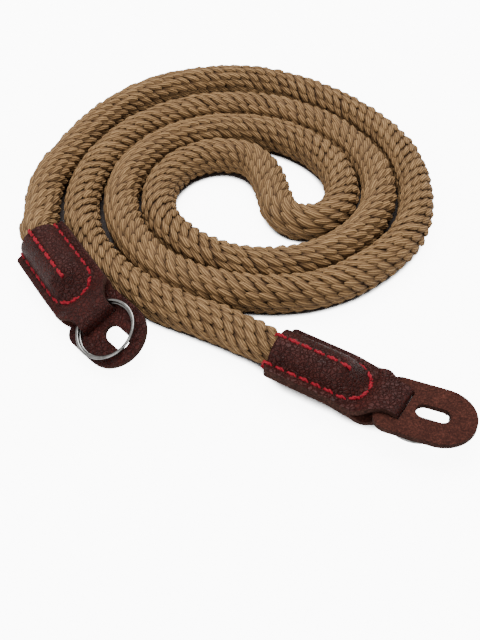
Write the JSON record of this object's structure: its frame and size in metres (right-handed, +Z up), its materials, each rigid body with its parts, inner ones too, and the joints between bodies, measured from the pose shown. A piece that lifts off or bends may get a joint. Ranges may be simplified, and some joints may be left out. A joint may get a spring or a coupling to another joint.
{
  "type": "camera strap",
  "caption": "Braided rope camera strap lying in a flat double coil, with sewn leather end tabs, split rings and slotted leather shields.",
  "frame": {"origin": "centre of the underside of the strap's box, on the surface that the strap lies on", "axes": "+Z up, +Y along the longer side of the box, away from the camera of the picture, +X to that camera's right"},
  "size_m": [0.1204, 0.1556, 0.0132],
  "materials": {
    "braid": "matt braided cord",
    "grain_leather": "fine grain, slight sheen",
    "suede": "matt suede",
    "ring_steel": "polished"
  },
  "bodies": {
    "root": {"rope": "braid", "end_tab_left": "grain_leather", "end_tab_right": "grain_leather", "shield_left": "grain_leather", "shield_right": "suede", "split_ring_left": "ring_steel", "split_ring_right": "ring_steel"}
  },
  "joints": []
}
